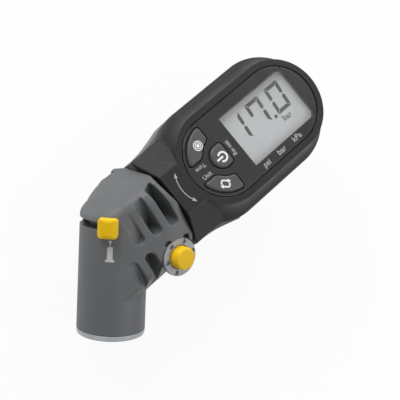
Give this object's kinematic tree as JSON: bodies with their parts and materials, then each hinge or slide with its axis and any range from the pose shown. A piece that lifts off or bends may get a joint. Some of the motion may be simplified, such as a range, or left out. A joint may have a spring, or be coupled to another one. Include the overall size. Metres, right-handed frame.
{
  "type": "digital tire pressure gauge",
  "caption": "Hand-held electronic gauge: a flat round-ended display casing on a neck, with a swivelling head whose chuck fits a tyre valve, a valve selector and a bleed button.",
  "frame": {"origin": "on the rear cover's flat back face, on the casing's centre plane, 58 mm from the elbow where the swivel axis and the chuck's axis cross", "axes": "+X along the casing from the head to the round far end, parallel to the swivel axis; +Z out of the display"},
  "size_m": [0.1419, 0.0603, 0.0509],
  "materials": {
    "black_casing": "fine satin black plastic",
    "grey_cover": "satin mid grey plastic",
    "grey_head": "satin mid grey plastic with a fine grain",
    "lens": "smooth acrylic, dark round a clear window",
    "panel": "grey green liquid crystal glass",
    "light_frame": "light grey plastic",
    "conductive_rubber": "layered grey rubber",
    "board": "green circuit board",
    "key_rubber": "dark grey silicone rubber",
    "steel": "bright steel",
    "spring_steel": "drawn spring wire",
    "brass": "turned brass",
    "aluminium": "bead blasted silver aluminium",
    "white_plastic": "plain acetal",
    "yellow_plastic": "warm yellow plastic",
    "seal_rubber": "black nitrile rubber",
    "hose_rubber": "black silicone hose"
  },
  "bodies": {
    "gauge": {"front_casing": "black_casing", "rear_cover": "grey_cover", "casing_screws": "steel", "display_lens": "lens", "lcd_frame": "light_frame", "lcd_panel": "panel", "lcd_connector": "conductive_rubber", "circuit_board": "board", "switch_domes": "steel", "key_mat": "key_rubber", "coin_cell": "steel", "battery_clip": "spring_steel", "battery_spring": "spring_steel", "swivel_spindle": "brass", "swivel_seals": "seal_rubber", "spindle_clip": "spring_steel", "air_hose": "hose_rubber", "pressure_sensor": "steel"},
    "battery_cover": {"battery_door": "grey_cover", "door_seal": "seal_rubber"},
    "ring_button": {"ring_key": "key_rubber"},
    "power_button": {"power_key": "key_rubber"},
    "unit_button": {"unit_key": "key_rubber"},
    "head": {"head_shell": "grey_head", "end_cap": "aluminium", "valve_gasket": "seal_rubber", "core_tube": "white_plastic", "detent_ball": "steel", "detent_spring": "spring_steel", "thrust_washer": "white_plastic", "bleed_collar": "aluminium", "bleed_seal": "seal_rubber", "bleed_spring": "spring_steel"},
    "selector": {"selector_ring": "white_plastic", "selector_tab": "yellow_plastic", "depressor_pin": "brass"},
    "bleeder": {"bleed_button": "yellow_plastic", "bleed_stem": "brass"}
  },
  "joints": [
    {"name": "head_swivel", "type": "hinge", "parent": "gauge", "child": "head", "pos_m": [-0.058, 0, 0.0084], "axis": [1, 0, 0], "range_deg": [-30, 150]},
    {"name": "selector_turn", "type": "hinge", "parent": "head", "child": "selector", "pos_m": [-0.058, 0, 0.0084], "axis": [-0.524, -0.7376, -0.4259], "range_deg": [0, 91]},
    {"name": "bleed_press", "type": "slide", "parent": "head", "child": "bleeder", "axis": [0, 0.5, -0.866], "range_m": [0, 0.0018], "stiffness_N_per_m": 700, "springref_m": -0.001, "deforming": ["bleed_spring"]},
    {"name": "ring_key_press", "type": "slide", "parent": "gauge", "child": "ring_button", "axis": [0, 0, -1], "range_m": [0, 0.0006], "stiffness_N_per_m": 600, "springref_m": -0.0003},
    {"name": "power_key_press", "type": "slide", "parent": "gauge", "child": "power_button", "axis": [0, 0, -1], "range_m": [0, 0.0006], "stiffness_N_per_m": 600, "springref_m": -0.0003},
    {"name": "unit_key_press", "type": "slide", "parent": "gauge", "child": "unit_button", "axis": [0, 0, -1], "range_m": [0, 0.0006], "stiffness_N_per_m": 600, "springref_m": -0.0003},
    {"name": "battery_door_turn", "type": "hinge", "parent": "gauge", "child": "battery_cover", "pos_m": [0.023, 0, 0], "axis": [0, 0, 1], "range_deg": [0, 45]}
  ]
}
